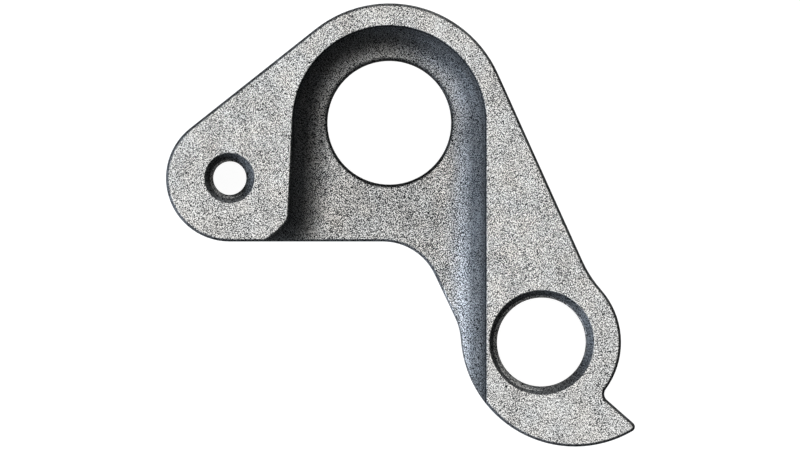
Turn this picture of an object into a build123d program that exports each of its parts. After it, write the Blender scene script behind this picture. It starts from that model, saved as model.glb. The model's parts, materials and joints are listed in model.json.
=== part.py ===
from build123d import *

import os
from math import acos, atan2, cos, degrees, hypot, radians, sin, sqrt

# Bicycle derailleur hanger for a through axle, one piece of laser-sintered aluminium, in millimetres.
# It lies on its flat outer face. The origin is the axle's centre on that face, +Z runs along the axle and
# out of the hub recess, and the derailleur hangs from the boss towards +X and -Y. Angles are in degrees from
# +X. An edge is named by the direction it faces, away from the metal.

# Plate. The front's edges are rounded, and those of the outer face at the back are broken by a chamfer.
PLATE_T = 8.0
EDGE_ROUND = 0.35
BACK_CHAMFER = 0.25

# Lands round the axle and the fixing screw, with their lower edges in line
AXLE_AT = (0.0, 0.0)
AXLE_LAND_R = 12.0
SCREW_AT = (-16.1, -5.6)
SCREW_LAND_R = AXLE_LAND_R + SCREW_AT[1]

# Derailleur boss
BOSS_AT = (15.35, -22.15)
BOSS_R = 8.0

# Leg from the axle land down to the boss
LEG_FRONT_FACES = 24.3
LEG_REAR_FACES = 205.4
LEG_REAR_FROM_BOSS = 6.8

# Tail under the boss: a larger arc that touches the boss from outside and ends at a stop face, which is in
# line with the boss's centre
TAIL_R = 11.5
TAIL_TOUCHES_BOSS_AT = 196.5
STOP_FACES = 48.6

# Radii where one edge of the outline runs into the next
LEG_TO_BOSS_R = 11.6
STOP_NOTCH_R = 0.8
TAIL_TIP_R = 0.5
LEG_TO_TAIL_R = 6.4
ARMPIT_R = 5.8

# Hub recess: a pocket with a scooped wall, open at the plate's lower edge and along the leg
RECESS_DEPTH = 3.5
RECESS_R = 9.9
RECESS_SCOOP_R = 5.0
RECESS_WALL_FACES = -2.8
SCREW_PAD_R = 7.0
SCREW_PAD_CORNER_R = 1.3

# Holes. The two threaded ones have the thread's minor size and a 45 degree lead-in at both ends.
AXLE_BORE_R = 6.25
AXLE_BORE_ROUND = 0.4
DERAILLEUR_BORE_R = 4.5
DERAILLEUR_LEAD_IN = 0.75
SCREW_BORE_R = 1.7
SCREW_LEAD_IN = 0.8
LEAD_IN_ROUND = 0.25

# How far the recess's cutter runs past the plate, the gap under which two arcs meet with no straight edge
# between them, and the turn above which an edge between two faces counts as sharp
CUTTER_BEYOND = 30.0
MEETING_GAP = 0.001
SHARP_TURN = 10.0


def polar(centre, distance, angle):
    """The point at a distance and angle from a centre."""
    return (centre[0] + distance * cos(radians(angle)), centre[1] + distance * sin(radians(angle)))


def bearing(start, end):
    """The angle from one point to another."""
    return degrees(atan2(end[1] - start[1], end[0] - start[0]))


def reach(point, faces):
    """How far a point lies from the axle in the direction that an edge faces."""
    return point[0] * cos(radians(faces)) + point[1] * sin(radians(faces))


def seat(faces, offset, centre, distance, side):
    """The point of a straight line at a distance from a centre: side 1 is to the left of the way it faces."""
    across = offset - reach(centre, faces)
    along = sqrt(distance**2 - across**2)
    return polar(polar(centre, across, faces), side * along, faces + 90)


def crossing(height, faces, offset):
    """The point of a straight line that is at a height."""
    return ((offset - height * sin(radians(faces))) / cos(radians(faces)), height)


def clockwise(centre, radius, start, end):
    """An arc that bulges out of an outline walked clockwise."""
    return CenterArc(centre, radius, start, -((start - end) % 360))


def anticlockwise(centre, radius, start, end):
    """An arc that hollows an outline walked clockwise."""
    return CenterArc(centre, radius, start, (end - start) % 360)


def plate_outline():
    """The hanger's outline: nine arcs, each tangent to the straight edge or the arc beside it."""
    lands_apart = hypot(*SCREW_AT)
    top_faces = bearing(SCREW_AT, AXLE_AT) + degrees(acos((SCREW_LAND_R - AXLE_LAND_R) / lands_apart))
    leg_rear = reach(BOSS_AT, LEG_REAR_FACES) + LEG_REAR_FROM_BOSS
    stop = reach(BOSS_AT, STOP_FACES)
    tail = polar(BOSS_AT, TAIL_R - BOSS_R, TAIL_TOUCHES_BOSS_AT + 180)

    leg_to_boss = seat(LEG_FRONT_FACES, AXLE_LAND_R + LEG_TO_BOSS_R, BOSS_AT, BOSS_R + LEG_TO_BOSS_R, 1)
    notch = seat(STOP_FACES, stop + STOP_NOTCH_R, BOSS_AT, BOSS_R + STOP_NOTCH_R, -1)
    tip = seat(STOP_FACES, stop - TAIL_TIP_R, tail, TAIL_R - TAIL_TIP_R, -1)
    leg_to_tail = seat(LEG_REAR_FACES, leg_rear + LEG_TO_TAIL_R, tail, TAIL_R + LEG_TO_TAIL_R, -1)
    armpit = crossing(-AXLE_LAND_R - ARMPIT_R, LEG_REAR_FACES, leg_rear + ARMPIT_R)

    arcs = [
        clockwise(AXLE_AT, AXLE_LAND_R, top_faces, LEG_FRONT_FACES),
        anticlockwise(leg_to_boss, LEG_TO_BOSS_R, LEG_FRONT_FACES + 180, bearing(leg_to_boss, BOSS_AT)),
        clockwise(BOSS_AT, BOSS_R, bearing(BOSS_AT, leg_to_boss), bearing(BOSS_AT, notch)),
        anticlockwise(notch, STOP_NOTCH_R, bearing(notch, BOSS_AT), STOP_FACES + 180),
        clockwise(tip, TAIL_TIP_R, STOP_FACES, bearing(tail, tip)),
        clockwise(tail, TAIL_R, bearing(tail, tip), bearing(tail, leg_to_tail)),
        anticlockwise(leg_to_tail, LEG_TO_TAIL_R, bearing(leg_to_tail, tail), LEG_REAR_FACES + 180),
        anticlockwise(armpit, ARMPIT_R, LEG_REAR_FACES + 180, 90),
        clockwise(SCREW_AT, SCREW_LAND_R, -90, top_faces),
    ]
    edges = []
    for arc, following in zip(arcs, arcs[1:] + arcs[:1]):
        edges.append(arc)
        if (following @ 0 - arc @ 1).length > MEETING_GAP:
            edges.append(Line(arc @ 1, following @ 0))
    return make_face(edges)


def hub_recess():
    """The cutter for the hub recess, rounded below so that the wall it leaves is scooped into the floor."""
    wall = -RECESS_R - SCREW_PAD_CORNER_R
    corner = seat(RECESS_WALL_FACES, wall, SCREW_AT, SCREW_PAD_R - SCREW_PAD_CORNER_R, -1)
    pad_from = bearing(SCREW_AT, corner)
    mouth_y = -AXLE_LAND_R - CUTTER_BEYOND

    hub = anticlockwise(AXLE_AT, RECESS_R, 0, RECESS_WALL_FACES + 180)
    bend = clockwise(corner, SCREW_PAD_CORNER_R, RECESS_WALL_FACES, pad_from)
    pad = clockwise(SCREW_AT, SCREW_PAD_R, pad_from, -90)
    mouth = Polyline(pad @ 1, (SCREW_AT[0], mouth_y), (RECESS_R, mouth_y), hub @ 0)
    outline = make_face([hub, Line(hub @ 1, bend @ 0), bend, pad] + mouth.edges())

    cutter = extrude(Pos(0, 0, PLATE_T - RECESS_DEPTH) * outline, PLATE_T)
    return fillet(cutter.faces().sort_by(Axis.Z)[0].edges(), RECESS_SCOOP_R)


def threaded_hole(at, radius, lead_in):
    """The cutter for a hole through the plate, opened by a lead-in at both ends."""
    wide = radius + lead_in
    top = PLATE_T
    half = Polyline(
        (0, 0), (wide, 0), (radius, lead_in), (radius, top - lead_in), (wide, top), (0, top), close=True
    )
    return Pos(*at) * revolve(Plane.XZ * make_face(half), Axis.Z)


def sharp_edges(body):
    """The edges at which two faces of a body meet at more than a slight turn."""
    sharp = ShapeList()
    for edge in body.edges():
        beside = [face for face in body.faces() if any(edge.is_same(other) for other in face.edges())]
        normals = [face.normal_at(edge @ 0.5) for face in beside]
        if len(normals) == 2 and normals[0].get_angle(normals[1]) > SHARP_TURN:
            sharp.append(edge)
    return sharp


def hanger():
    """The whole hanger: the plate, then the recess, the axle bore and the threaded holes cut from it."""
    body = extrude(plate_outline(), PLATE_T) - hub_recess()
    body = fillet(sharp_edges(body).filter_by_position(Axis.Z, EDGE_ROUND, PLATE_T), EDGE_ROUND)
    body -= Cylinder(AXLE_BORE_R, PLATE_T, align=(Align.CENTER, Align.CENTER, Align.MIN))
    body = fillet(sharp_edges(body).filter_by_position(Axis.Z, EDGE_ROUND, PLATE_T), AXLE_BORE_ROUND)
    body = chamfer(body.faces().sort_by(Axis.Z)[0].edges(), BACK_CHAMFER)

    body -= threaded_hole(BOSS_AT, DERAILLEUR_BORE_R, DERAILLEUR_LEAD_IN)
    body -= threaded_hole(SCREW_AT, SCREW_BORE_R, SCREW_LEAD_IN)
    return fillet(sharp_edges(body).group_by(Axis.Z)[-1], LEAD_IN_ROUND)


os.makedirs("parts", exist_ok=True)
export_step(hanger(), "parts/hanger.step")
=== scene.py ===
"""Dresses the bicycle derailleur hanger: cuts its threads, finishes its metal and sets it in a studio."""

import json
import logging
from dataclasses import dataclass, field
from enum import Enum
from math import ceil, pi, radians
from typing import Any

import bpy
from bpy.types import Material, Node, NodeOutputs, NodeSocket, NodeTree, Object
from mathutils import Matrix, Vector

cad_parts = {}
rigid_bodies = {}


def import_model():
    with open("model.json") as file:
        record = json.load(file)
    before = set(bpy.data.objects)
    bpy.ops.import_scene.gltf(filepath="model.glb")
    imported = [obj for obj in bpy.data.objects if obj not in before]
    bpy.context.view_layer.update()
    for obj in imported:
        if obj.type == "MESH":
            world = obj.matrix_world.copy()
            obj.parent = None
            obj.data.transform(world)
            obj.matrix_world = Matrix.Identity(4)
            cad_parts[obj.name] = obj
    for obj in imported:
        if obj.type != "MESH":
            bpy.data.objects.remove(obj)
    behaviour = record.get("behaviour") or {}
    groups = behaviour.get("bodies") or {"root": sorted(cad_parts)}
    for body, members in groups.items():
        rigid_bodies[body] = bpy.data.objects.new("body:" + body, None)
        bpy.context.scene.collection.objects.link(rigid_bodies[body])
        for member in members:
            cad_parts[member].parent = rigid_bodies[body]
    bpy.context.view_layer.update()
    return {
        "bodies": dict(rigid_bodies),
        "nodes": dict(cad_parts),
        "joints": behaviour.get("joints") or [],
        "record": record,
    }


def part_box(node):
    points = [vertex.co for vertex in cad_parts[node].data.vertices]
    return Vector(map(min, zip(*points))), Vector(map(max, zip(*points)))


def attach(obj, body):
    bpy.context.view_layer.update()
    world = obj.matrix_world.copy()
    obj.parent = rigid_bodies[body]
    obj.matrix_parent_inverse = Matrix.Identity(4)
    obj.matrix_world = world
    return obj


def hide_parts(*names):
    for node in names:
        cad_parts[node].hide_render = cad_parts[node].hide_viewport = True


MM = 0.001
BODY = "root"
NODE = "hanger"
PIECE = "hanger_with_threads"

# Numbers of a Mix node's colour sockets, which share their names with those for other values
MIX_A = 6
MIX_B = 7
MIX_RESULT = 2

log = logging.getLogger("hanger")


class Hand(Enum):
    """The way a thread winds: a right-hand one rises as it turns anticlockwise, seen from above."""

    RIGHT = 1
    LEFT = -1


class Ray(Enum):
    """The kinds of ray to which the floor shows itself as plain white."""

    CAMERA = "Is Camera Ray"
    GLOSSY = "Is Glossy Ray"
    TRANSMISSION = "Is Transmission Ray"


class LampShape(Enum):
    """The outline of a lamp's diffuser."""

    RECTANGLE = "RECTANGLE"
    ELLIPSE = "ELLIPSE"


def linear(code: str) -> tuple[float, float, float, float]:
    """Turns an sRGB colour code into the linear colour that a shader takes, by the standard's own curve.

    Args:
        code: Six hexadecimal digits after a hash sign.

    Returns:
        Linear red, green and blue, and full opacity.
    """
    shares = [level / 255 for level in bytes.fromhex(code[1:])]
    red, green, blue = (s / 12.92 if s <= 0.04045 else ((s + 0.055) / 1.055) ** 2.4 for s in shares)
    return red, green, blue, 1.0


def deselect() -> None:
    """Leaves object mode with nothing selected."""
    if bpy.context.mode != "OBJECT":
        bpy.ops.object.mode_set(mode="OBJECT")
    bpy.ops.object.select_all(action="DESELECT")


def pick(piece: Object) -> None:
    """Makes one object the only selected and the active one.

    Args:
        piece: The object.
    """
    deselect()
    piece.select_set(True)
    bpy.context.view_layer.objects.active = piece


def add_node(tree: NodeTree, kind: str, links: dict[str | int, Any], **settings: Any) -> Node:
    """Adds one node with its settings, values and links.

    Args:
        tree: The node tree that gets the node.
        kind: The node's type, such as ShaderNodeBump.
        links: Input name or number to an output socket, which is linked, or to a plain value, which is set.
        settings: Attributes of the node itself.

    Returns:
        The new node.
    """
    node = tree.nodes.new(kind)
    for name, value in settings.items():
        setattr(node, name, value)
    for name, value in links.items():
        if isinstance(value, NodeSocket):
            tree.links.new(value, node.inputs[name])
        else:
            node.inputs[name].default_value = value
    return node


def new_material(name: str) -> Material:
    """Makes a material with an empty node tree.

    Args:
        name: Name of the material.

    Returns:
        The material.
    """
    material = bpy.data.materials.new(name)
    material.use_nodes = True
    material.node_tree.nodes.clear()
    return material


@dataclass(frozen=True)
class SinteredAluminium:
    """Laser-sintered aluminium, bead blasted: pale grey metal with a fine, sandy grain and no polish.

    Melted powder leaves beads and pits of about a twentieth of a millimetre. They are too fine to show in
    the render, so they are drawn nearly twice as coarse. The beads' tops catch the light and the pits stay
    dark, so the flat faces sparkle like sandpaper, with faint clouds and a faint drift from warm to cool.
    Light that only grazes the metal is lost between the beads, so the metal mirrors little at a grazing
    angle.
    Shade is painted into the colour as well: slopes are darker, more so near the front face and most of all
    on the recess's lip, and the rounded edges are painted dark, so that they show as dark lines. The
    recess's floor and all below it carry a faint painted shade too.

    Args:
        name: Name of the material.
        pit: Colour between the beads.
        cool_bead: Colour of the beads' tops where the metal looks cool.
        warm_bead: Colour of the beads' tops where the metal looks warm.
        tint_mm: Size of the warm and cool patches.
        slope: Colour that shades a slope.
        rim_shade: Colour that shades a slope near the front face, where little but the room shows in the
            metal.
        rim_mm: Depths below the front face at which that colour sets in and is full.
        lip: Colour that shades the rounded lip of the recess.
        lip_mm: How far that lip is from the middle of the recess, and half its width.
        slope_rise: How far up the normal of a slope points when the shade is full, from 0 to 1.
        level_rise: How far up the normal points when there is no shade any more.
        slope_power: How fast the shade sets in.
        edge_mm: Height and width of the rounded edges.
        edge_rise: What slope_rise is on a rounded edge of the front face and of the recess's floor.
        bore_rise: What slope_rise is on the rounded edge of the axle's bore.
        wall_share: How much of the shade an upright wall is spared.
        wall_rise: How far up the normal points when a wall counts as upright, and when it no longer does.
        graze: Tint of what the metal mirrors at a grazing angle.
        roughness: Roughness of a flat face.
        slope_roughness: Roughness of a slope.
        grain_mm: Size of a bead.
        grain_shift_mm: How far the grain and the clouds are shifted.
        grain_turn_deg: How far they are turned, so that the noise's own grid isn't in line with the faces.
        grain_squeeze: How closely they are packed along each of their axes.
        grain_depth_mm: Depth of the pits.
        grain_spread: Half the range of the grain's noise in which a pit turns into a bead.
        cloud_mm: Size of the clouds.
        cloud_share: How much the clouds add to the grain.
        recess_mm: Depth of the recess.
        recess_share: How much painted shade takes from the grain on the recess's floor and on everything
            below it.
    """

    name: str = "laser_sintered_aluminium"
    pit: str = "#2c2e30"
    cool_bead: str = "#f2f4f4"
    warm_bead: str = "#f9f5ef"
    tint_mm: float = 1.8
    slope: str = "#626466"
    rim_shade: str = "#505254"
    rim_mm: tuple[float, float] = (1.5, 0.5)
    lip: str = "#2a2c2e"
    lip_mm: tuple[float, float] = (9.69, 0.07)
    slope_rise: float = 0.66
    level_rise: float = 0.995
    slope_power: float = 2.15
    edge_mm: float = 0.4
    edge_rise: float = 0.89
    bore_rise: float = 0.81
    wall_share: float = 0.3
    wall_rise: tuple[float, float] = (0.05, 0.25)
    graze: str = "#101010"
    roughness: float = 0.42
    slope_roughness: float = 0.65
    grain_mm: float = 0.09
    grain_shift_mm: tuple[float, float, float] = (17.0, -9.0, -6.0)
    grain_turn_deg: tuple[float, float, float] = (35.0, 25.0, 15.0)
    grain_squeeze: tuple[float, float, float] = (1.35, 0.85, 1.0)
    grain_depth_mm: float = 0.012
    grain_spread: float = 0.034
    cloud_mm: float = 3.0
    cloud_share: float = 0.12
    recess_mm: float = 3.5
    recess_share: float = 0.04

    def material(self, top_mm: float, bore_mm: float) -> Material:
        """Makes the material.

        Args:
            top_mm: Height of the front face.
            bore_mm: Radius of the axle's bore, which is round the Z axis.

        Returns:
            The finished material, with its pattern on object coordinates.
        """
        material = new_material(self.name)
        tree = material.node_tree
        spot = add_node(tree, "ShaderNodeTexCoord", {}).outputs
        sides = add_node(tree, "ShaderNodeSeparateXYZ", {"Vector": spot["Object"]}).outputs
        place = add_node(
            tree, "ShaderNodeMapping",
            {
                "Vector": spot["Object"],
                "Location": [side * MM for side in self.grain_shift_mm],
                "Rotation": [radians(angle) for angle in self.grain_turn_deg],
                "Scale": self.grain_squeeze,
            },
        ).outputs["Vector"]
        grain = add_node(
            tree, "ShaderNodeTexNoise", {"Vector": place, "Scale": 1 / (self.grain_mm * MM), "Detail": 0.0}
        ).outputs["Fac"]
        drift = self.drift(tree, place, sides["Z"], top_mm)
        flat = self.flat_colour(tree, grain, drift, spot["Object"])
        dark_from = self.edges(tree, sides, top_mm, bore_mm)
        level, spared = self.levels(tree, spot["Normal"], dark_from)
        # Painted shade: slopes and rounded edges are multiplied by a darker colour, flats are spared it and
        # upright walls partly.
        shaded = add_node(
            tree, "ShaderNodeMix", {"Factor": 1.0, MIX_A: flat, MIX_B: self.shade(tree, sides, top_mm)},
            data_type="RGBA", blend_type="MULTIPLY",
        ).outputs[MIX_RESULT]
        colour = add_node(
            tree, "ShaderNodeMix", {"Factor": spared, MIX_A: shaded, MIX_B: flat}, data_type="RGBA"
        ).outputs[MIX_RESULT]
        roughness = add_node(
            tree, "ShaderNodeMapRange",
            {"Value": level, "To Min": self.slope_roughness, "To Max": self.roughness},
        ).outputs["Result"]
        bump = add_node(
            tree, "ShaderNodeBump",
            {"Height": grain, "Strength": 1.0, "Distance": self.grain_depth_mm * MM},
        ).outputs["Normal"]
        shader = add_node(
            tree, "ShaderNodeBsdfPrincipled",
            {
                "Base Color": colour, "Metallic": 1.0, "Roughness": roughness, "Normal": bump,
                "Specular Tint": linear(self.graze),
            },
        )
        add_node(tree, "ShaderNodeOutputMaterial", {"Surface": shader.outputs["BSDF"]})
        return material

    def drift(self, tree: NodeTree, place: NodeSocket, above: NodeSocket, top_mm: float) -> NodeSocket:
        """Adds what shifts the grain slowly over the piece: the clouds, less a painted shade that darkens
        the grain from the front face down to the recess's floor and below it.

        Args:
            tree: The material's node tree.
            place: Shifted and turned object coordinates.
            above: Height of the spot.
            top_mm: Height of the front face.

        Returns:
            The sum of both.
        """
        cloud = add_node(
            tree, "ShaderNodeTexNoise", {"Vector": place, "Scale": 1 / (self.cloud_mm * MM)}
        ).outputs["Fac"]
        sunk_shade = add_node(
            tree, "ShaderNodeMapRange",
            {
                "Value": above, "From Min": (top_mm - self.recess_mm) * MM, "From Max": top_mm * MM,
                "To Min": -self.recess_share, "To Max": 0.0,
            },
        ).outputs["Result"]
        return add_node(
            tree, "ShaderNodeMath", {0: cloud, 1: self.cloud_share, 2: sunk_shade}, operation="MULTIPLY_ADD"
        ).outputs["Value"]

    def flat_colour(
        self, tree: NodeTree, grain: NodeSocket, drift: NodeSocket, spot: NodeSocket
    ) -> NodeSocket:
        """Colours the pits and the beads, as they are on a flat face.

        Args:
            tree: The material's node tree.
            grain: The grain's noise.
            drift: What shifts that noise.
            spot: Object coordinates.

        Returns:
            The colour.
        """
        beads = add_node(tree, "ShaderNodeMath", {0: grain, 1: drift}, operation="ADD").outputs["Value"]
        middle = (1 + self.cloud_share) / 2
        height = add_node(
            tree, "ShaderNodeMapRange",
            {
                "Value": beads,
                "From Min": middle - self.grain_spread,
                "From Max": middle + self.grain_spread,
            },
        ).outputs["Result"]
        tint = add_node(
            tree, "ShaderNodeTexNoise", {"Vector": spot, "Scale": 1 / (self.tint_mm * MM), "Detail": 0.0}
        ).outputs["Fac"]
        bead = add_node(
            tree, "ShaderNodeMix",
            {"Factor": tint, MIX_A: linear(self.cool_bead), MIX_B: linear(self.warm_bead)},
            data_type="RGBA",
        ).outputs[MIX_RESULT]
        return add_node(
            tree, "ShaderNodeMix", {"Factor": height, MIX_A: linear(self.pit), MIX_B: bead},
            data_type="RGBA",
        ).outputs[MIX_RESULT]

    def shade(self, tree: NodeTree, sides: NodeOutputs, top_mm: float) -> NodeSocket:
        """Paints shade into the colour of a slope, darker near the front face and darkest on the lip of the
        recess, where it draws a dark line.

        The lip is a half circle round the axle that runs on straight, towards -Y. So its distance is taken
        from the axle on the half circle, and from the Y axis on the straight stretch.

        Args:
            tree: The material's node tree.
            sides: X, Y and Z of the spot.
            top_mm: Height of the front face.

        Returns:
            The painted shade by which a slope's colour is multiplied.
        """
        sets_in, is_full = ((top_mm - depth_mm) * MM for depth_mm in self.rim_mm)
        rim_shade = add_node(
            tree, "ShaderNodeMapRange", {"Value": sides["Z"], "From Min": sets_in, "From Max": is_full}
        ).outputs["Result"]
        shade = add_node(
            tree, "ShaderNodeMix", {"Factor": rim_shade, MIX_A: linear(self.slope), MIX_B: linear(self.rim_shade)},
            data_type="RGBA",
        ).outputs[MIX_RESULT]
        up = add_node(
            tree, "ShaderNodeMath", {0: sides["Y"], 1: 0.0}, operation="MAXIMUM"
        ).outputs["Value"]
        out = add_node(tree, "ShaderNodeCombineXYZ", {"X": sides["X"], "Y": up}).outputs["Vector"]
        reach = add_node(tree, "ShaderNodeVectorMath", {0: out}, operation="LENGTH").outputs["Value"]
        middle, half = (side * MM for side in self.lip_mm)
        band = add_node(
            tree, "ShaderNodeMath", {0: reach, 1: middle, 2: half}, operation="COMPARE"
        ).outputs["Value"]
        front = add_node(
            tree, "ShaderNodeMath", {0: sides["Z"], 1: (top_mm - self.edge_mm) * MM},
            operation="GREATER_THAN",
        ).outputs["Value"]
        # Painted shade: the lip's colour draws a dark line along the recess's edge.
        lip = add_node(tree, "ShaderNodeMath", {0: band, 1: front}, operation="MULTIPLY").outputs["Value"]
        return add_node(
            tree, "ShaderNodeMix", {"Factor": lip, MIX_A: shade, MIX_B: linear(self.lip)},
            data_type="RGBA",
        ).outputs[MIX_RESULT]

    def edges(self, tree: NodeTree, sides: NodeOutputs, top_mm: float, bore_mm: float) -> NodeSocket:
        """Finds the rounded edges by their height or, at the bore, by their distance from the axle, so that
        the painted shade covers them fully and draws them as dark lines.

        Args:
            tree: The material's node tree.
            sides: X, Y and Z of the spot.
            top_mm: Height of the front face.
            bore_mm: Radius of the axle's bore.

        Returns:
            How far up the normal points when the shade is full.
        """
        out = add_node(tree, "ShaderNodeCombineXYZ", {"X": sides["X"], "Y": sides["Y"]}).outputs["Vector"]
        reach = add_node(tree, "ShaderNodeVectorMath", {0: out}, operation="LENGTH").outputs["Value"]
        half_mm = self.edge_mm / 2
        rounds = (
            (sides["Z"], top_mm - half_mm, self.edge_rise),
            (sides["Z"], top_mm - self.recess_mm - half_mm, self.edge_rise),
            (reach, bore_mm + half_mm, self.bore_rise),
        )
        dark_from: float | NodeSocket = self.slope_rise
        for side, middle_mm, rise in rounds:
            edge = add_node(
                tree, "ShaderNodeMath", {0: side, 1: middle_mm * MM, 2: half_mm * MM}, operation="COMPARE"
            ).outputs["Value"]
            lifted = add_node(
                tree, "ShaderNodeMath", {0: edge, 1: rise}, operation="MULTIPLY"
            ).outputs["Value"]
            dark_from = add_node(
                tree, "ShaderNodeMath", {0: lifted, 1: dark_from}, operation="MAXIMUM"
            ).outputs["Value"]
        return dark_from

    def levels(
        self, tree: NodeTree, normal: NodeSocket, dark_from: NodeSocket
    ) -> tuple[NodeSocket, NodeSocket]:
        """Works out how level the metal is.

        Args:
            tree: The material's node tree.
            normal: The normal in object space.
            dark_from: How far up the normal points when the shade is full.

        Returns:
            1 on a flat face and 0 on a slope, and the share of the slope's shade that is spared.
        """
        rise = add_node(tree, "ShaderNodeSeparateXYZ", {"Vector": normal}).outputs["Z"]
        rise = add_node(tree, "ShaderNodeMath", {0: rise}, operation="ABSOLUTE").outputs["Value"]
        level = add_node(
            tree, "ShaderNodeMapRange", {"Value": rise, "From Min": dark_from, "From Max": self.level_rise}
        ).outputs["Result"]
        level = add_node(
            tree, "ShaderNodeMath", {0: level, 1: self.slope_power}, operation="POWER"
        ).outputs["Value"]
        upright, leaning = self.wall_rise
        wall = add_node(
            tree, "ShaderNodeMapRange",
            {"Value": rise, "From Min": leaning, "From Max": upright, "To Max": self.wall_share},
        ).outputs["Result"]
        spared = add_node(
            tree, "ShaderNodeMath", {0: level, 1: wall}, operation="MAXIMUM"
        ).outputs["Value"]
        return level, spared


@dataclass(frozen=True)
class PaleFloor:
    """A matt white floor that reads as plain white where it is lit and keeps a faint shadow.

    Args:
        name: Name of the material.
        paint: Colour that the lamps light.
        own_light: Share of white that camera, glossy and transmission rays see without any lamp.
        size_mm: Length of each side.
        gap_mm: How far it lies below the hanger's back, so that the two don't share one plane.
    """

    name: str = "matt_white_floor"
    paint: str = "#8c8c8c"
    own_light: float = 0.95
    size_mm: float = 4000.0
    gap_mm: float = 0.02

    def material(self) -> Material:
        """Makes the floor's material.

        Returns:
            The finished material.
        """
        material = new_material(self.name)
        tree = material.node_tree
        path = add_node(tree, "ShaderNodeLightPath", {})
        seen = path.outputs[Ray.CAMERA.value]
        for ray in (Ray.GLOSSY, Ray.TRANSMISSION):
            seen = add_node(
                tree, "ShaderNodeMath", {0: seen, 1: path.outputs[ray.value]}, operation="MAXIMUM"
            ).outputs["Value"]
        strength = add_node(
            tree, "ShaderNodeMath", {0: seen, 1: self.own_light}, operation="MULTIPLY"
        ).outputs["Value"]
        white = add_node(tree, "ShaderNodeEmission", {"Strength": strength})
        lit = add_node(tree, "ShaderNodeBsdfDiffuse", {"Color": linear(self.paint)})
        both = add_node(tree, "ShaderNodeAddShader", {0: lit.outputs["BSDF"], 1: white.outputs["Emission"]})
        add_node(tree, "ShaderNodeOutputMaterial", {"Surface": both.outputs["Shader"]})
        return material

    def build(self) -> Object:
        """Lays the floor under the object.

        Returns:
            The floor.
        """
        deselect()
        bpy.ops.mesh.primitive_plane_add(size=self.size_mm * MM, location=(0.0, 0.0, -self.gap_mm * MM))
        floor = bpy.context.object
        floor.name = "floor"
        floor.data.materials.append(self.material())
        return floor


@dataclass(frozen=True)
class Thread:
    """A metric internal thread that runs right through the hanger.

    Args:
        mount: The record's mount that gives the thread's axis and core.
        major_mm: Diameter at the thread's roots.
        pitch_mm: Rise of one turn.
        steps: Facets in one turn.
        hand: The way the thread winds.
        core_flat: Share of the pitch that stays flat at the core.
        root_flat: Share of the pitch that is flat at the root.
        spare_turns: Turns by which the coil runs past each face.
        merge_mm: Gap below which points of the coil count as one.
    """

    mount: str
    major_mm: float
    pitch_mm: float
    steps: int = 64
    hand: Hand = Hand.RIGHT
    core_flat: float = 1 / 4
    root_flat: float = 1 / 8
    spare_turns: int = 1
    merge_mm: float = 0.0001

    def cutter(self, mount: dict[str, Any], top_mm: float) -> Object:
        """Makes the groove that the thread leaves in the metal.

        Args:
            mount: The record's row for this thread's hole.
            top_mm: Height of the face where the hole ends.

        Returns:
            A closed coil, which stands out of the metal at both ends.
        """
        coil = self.section(mount["dims"]["r_mm"])
        self.wind(coil, turns=ceil(top_mm / self.pitch_mm) + 2 * self.spare_turns)
        self.close(coil)
        x, y, _ = mount["pos_m"]
        coil.location = (x, y, -self.spare_turns * self.pitch_mm * MM)
        bpy.ops.object.transform_apply(location=True, rotation=False, scale=False)
        return coil

    def section(self, core_r: float) -> Object:
        """Draws the groove's section: its root, its two flanks and a stretch of each inside the bore.

        Args:
            core_r: Radius of the bore, in millimetres.

        Returns:
            Four edges in the XZ plane.
        """
        root_r = self.major_mm / 2
        inner_r = core_r - (root_r - core_r) / 2
        middle_r = (root_r + inner_r) / 2
        root_width = self.pitch_mm * self.root_flat
        core_width = self.pitch_mm * (1 - self.core_flat)
        inner_width = core_width + (core_width - root_width) * (core_r - inner_r) / (root_r - core_r)

        deselect()
        bpy.ops.mesh.primitive_plane_add(size=1.0, rotation=(pi / 2, 0, 0))
        coil = bpy.context.object
        bpy.ops.object.transform_apply(location=False, rotation=True, scale=False)
        bpy.ops.object.mode_set(mode="EDIT")
        bpy.ops.transform.resize(
            value=((root_r - inner_r) * MM, 1.0, inner_width * MM), center_override=(0.0, 0.0, 0.0)
        )
        bpy.ops.transform.translate(value=(middle_r * MM, 0.0, 0.0))
        bpy.ops.mesh.select_all(action="DESELECT")
        bpy.ops.object.mode_set(mode="OBJECT")
        for vertex in coil.data.vertices:
            vertex.select = vertex.co.x > middle_r * MM
        bpy.ops.object.mode_set(mode="EDIT")
        bpy.ops.transform.resize(
            value=(1.0, 1.0, root_width / inner_width), center_override=(root_r * MM, 0.0, 0.0)
        )
        bpy.ops.mesh.select_all(action="SELECT")
        bpy.ops.mesh.delete(type="ONLY_FACE")
        bpy.ops.object.mode_set(mode="OBJECT")
        return coil

    def wind(self, coil: Object, turns: int) -> None:
        """Winds the section upwards round the Z axis.

        Args:
            coil: The section, which becomes a coil.
            turns: How often it goes round.
        """
        bpy.ops.object.modifier_add(type="SCREW")
        screw = coil.modifiers[-1]
        screw.axis = "Z"
        screw.angle = 2 * pi * self.hand.value
        screw.screw_offset = self.pitch_mm * MM
        screw.iterations = turns
        screw.steps = screw.render_steps = self.steps
        screw.use_merge_vertices = False
        bpy.ops.object.modifier_apply(modifier=screw.name)

    def close(self, coil: Object) -> None:
        """Merges the turns, closes the four-sided ends of the coil and points its faces outwards.

        Args:
            coil: The coil, which is open at both ends.
        """
        pick(coil)
        bpy.ops.object.mode_set(mode="EDIT")
        bpy.ops.mesh.select_all(action="SELECT")
        bpy.ops.mesh.remove_doubles(threshold=self.merge_mm * MM)
        bpy.ops.mesh.select_all(action="SELECT")
        bpy.ops.mesh.fill_holes(sides=4)
        bpy.ops.mesh.select_all(action="SELECT")
        bpy.ops.mesh.normals_make_consistent(inside=False)
        bpy.ops.object.mode_set(mode="OBJECT")


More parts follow.
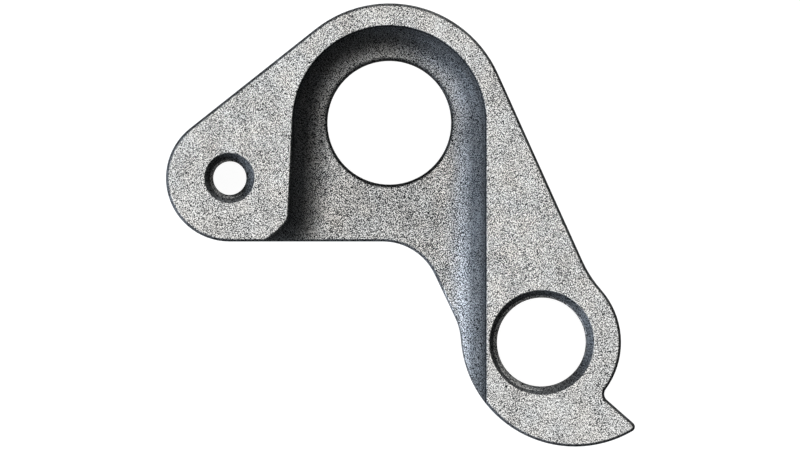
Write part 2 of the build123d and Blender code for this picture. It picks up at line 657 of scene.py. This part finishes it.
@dataclass
class Hanger:
    """The hanger: the solid's own shape, with the threads cut and the metal finished.

    Args:
        threads: The threads that are cut.
        bore: The record's mount for the axle's bore.
        metal: What the hanger is made of.
        merge_mm: Gap below which points of the solid's loose triangles count as one.
        smooth_below_deg: Turn between two faces up to which they are shaded as one.
    """

    threads: tuple[Thread, ...] = (
        Thread("derailleur_thread", major_mm=10.0, pitch_mm=1.0, steps=96),
        Thread("fixing_screw_thread", major_mm=4.1, pitch_mm=0.7, steps=48),
    )
    bore: str = "axle_bore"
    metal: SinteredAluminium = field(default_factory=SinteredAluminium)
    merge_mm: float = 0.0005
    smooth_below_deg: float = 35.0

    def build(self, frame: dict[str, Any]) -> Object:
        """Makes the finished hanger.


        Returns:
            The piece that stands for the hanger's node.
        """
        mounts = {mount["name"]: mount for mount in frame["record"]["mounts"]}
        piece = self.copy_solid(frame["nodes"][NODE])
        top_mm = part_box(NODE)[1].z / MM
        for thread in self.threads:
            self.cut(piece, thread.cutter(mounts[thread.mount], top_mm))
        self.dress(piece, top_mm, mounts[self.bore]["dims"]["r_mm"])
        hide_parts(NODE)
        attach(piece, BODY)
        return piece

    def copy_solid(self, solid: Object) -> Object:
        """Copies the solid's mesh into a piece of its own, with its loose triangles merged.

        Args:
            solid: The solid's object, as the frame gives it.

        Returns:
            The piece, without the marks that the frame puts on a solid.
        """
        pick(solid)
        bpy.ops.object.duplicate()
        piece = bpy.context.object
        piece.name = PIECE
        piece.data.name = PIECE
        for key in [key for key in piece.keys() if key.startswith("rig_")]:
            del piece[key]
        bpy.ops.object.parent_clear(type="CLEAR_KEEP_TRANSFORM")
        bpy.ops.object.mode_set(mode="EDIT")
        bpy.ops.mesh.select_all(action="SELECT")
        bpy.ops.mesh.remove_doubles(threshold=self.merge_mm * MM)
        bpy.ops.mesh.customdata_custom_splitnormals_clear()
        bpy.ops.object.mode_set(mode="OBJECT")
        return piece

    def cut(self, piece: Object, cutter: Object) -> None:
        """Cuts one shape out of the piece and throws the cutter away.

        Args:
            piece: The piece that is cut.
            cutter: The shape that is taken from it.
        """
        pick(piece)
        bpy.ops.object.modifier_add(type="BOOLEAN")
        boolean = piece.modifiers[-1]
        boolean.operation = "DIFFERENCE"
        boolean.solver = "EXACT"
        boolean.object = cutter
        bpy.ops.object.modifier_apply(modifier=boolean.name)
        bpy.data.objects.remove(cutter)

    def dress(self, piece: Object, top_mm: float, bore_mm: float) -> None:
        """Smooths the rounds, with the flats kept flat beside them, and gives the piece its metal.

        Args:
            piece: The piece that is finished.
            top_mm: Height of its front face.
            bore_mm: Radius of its axle bore.
        """
        pick(piece)
        bpy.ops.object.shade_smooth_by_angle(angle=radians(self.smooth_below_deg))
        bpy.ops.object.modifier_add(type="WEIGHTED_NORMAL")
        weighted = piece.modifiers[-1]
        weighted.mode = "FACE_AREA"
        weighted.keep_sharp = True
        bpy.ops.object.modifier_apply(modifier=weighted.name)
        piece.data.materials.clear()
        piece.data.materials.append(self.metal.material(top_mm, bore_mm))


@dataclass(frozen=True)
class Softbox:
    """A flat studio lamp.

    Args:
        name: Name of the lamp.
        place_mm: Where its middle is.
        size_mm: Width and length.
        watts: Power.
        tint: Colour of its light.
        shape: Outline of its diffuser.
    """

    name: str
    place_mm: tuple[float, float, float]
    size_mm: tuple[float, float]
    watts: float
    tint: str = "#ffffff"
    shape: LampShape = LampShape.RECTANGLE

    def build(self, aim: Vector) -> Object:
        """Hangs the lamp, facing a point.

        Args:
            aim: The point that the lamp faces, in metres.

        Returns:
            The lamp, which the camera doesn't see.
        """
        place = Vector(self.place_mm) * MM
        deselect()
        bpy.ops.object.light_add(type="AREA", location=place)
        lamp = bpy.context.object
        lamp.name = self.name
        lamp.data.shape = self.shape.value
        lamp.data.size, lamp.data.size_y = (side * MM for side in self.size_mm)
        lamp.data.energy = self.watts
        lamp.data.color = linear(self.tint)[:3]
        lamp.rotation_euler = (aim - place).to_track_quat("-Z", "Y").to_euler()
        lamp.visible_camera = False
        return lamp


@dataclass
class Studio:
    """The floor, the lamps, the dim room and the camera above.

    Args:
        floor: What the hanger lies on.
        room: Colour of the light from all sides.
        lamps: The lamps, each of which faces the hanger's middle.
        view_centre_mm: Point of the front face in the middle of the picture.
        view_width_mm: Width of the picture at the front face.
        lens_mm: Focal length, which is long because the picture shows no perspective.
        sensor_mm: Width of the camera's sensor.
        sight_mm: How far the camera sees.
    """

    floor: PaleFloor = field(default_factory=PaleFloor)
    room: str = "#1c1d1e"
    lamps: tuple[Softbox, ...] = (
        Softbox("key_softbox", (0.0, -70.0, 400.0), (960.0, 980.0), 2.42, shape=LampShape.ELLIPSE),
        Softbox("left_strip", (-755.0, -240.0, 100.0), (1300.0, 180.0), 29.0, "#dfeafb"),
        Softbox("far_strip", (100.0, 760.0, 110.0), (1000.0, 180.0), 12.0),
    )
    view_centre_mm: tuple[float, float] = (1.08, -10.33)
    view_width_mm: float = 80.56
    lens_mm: float = 800.0
    sensor_mm: float = 36.0
    sight_mm: float = 10000.0

    def build(self) -> None:
        """Sets up everything round the object."""
        low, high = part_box(NODE)
        self.floor.build()
        for lamp in self.lamps:
            lamp.build((low + high) / 2)
        self.light_room()
        self.hang_camera(high.z)
        bpy.context.scene.view_settings.view_transform = "Standard"

    def light_room(self) -> None:
        """Fills the world with one dim grey."""
        world = bpy.data.worlds.new("dim_room")
        world.use_nodes = True
        world.node_tree.nodes.clear()
        grey = add_node(world.node_tree, "ShaderNodeBackground", {"Color": linear(self.room)})
        add_node(world.node_tree, "ShaderNodeOutputWorld", {"Surface": grey.outputs["Background"]})
        bpy.context.scene.world = world

    def hang_camera(self, top: float) -> None:
        """Hangs the camera straight above, as high as the width of its picture asks for.

        Args:
            top: Height of the front face, in metres.
        """
        distance = self.view_width_mm * MM * self.lens_mm / self.sensor_mm
        x, y = (side * MM for side in self.view_centre_mm)
        bpy.ops.object.camera_add(location=(x, y, top + distance), rotation=(0.0, 0.0, 0.0))
        camera = bpy.context.object
        camera.data.lens = self.lens_mm
        camera.data.sensor_width = self.sensor_mm
        camera.data.clip_end = self.sight_mm * MM
        bpy.context.scene.camera = camera


def main() -> None:
    """Builds the hanger and the studio round it."""
    logging.basicConfig(level=logging.INFO, format="%(name)s: %(message)s")
    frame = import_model()
    piece = Hanger().build(frame)
    log.info("%s: %d faces", piece.name, len(piece.data.polygons))
    Studio().build()


if __name__ == "__main__":
    main()
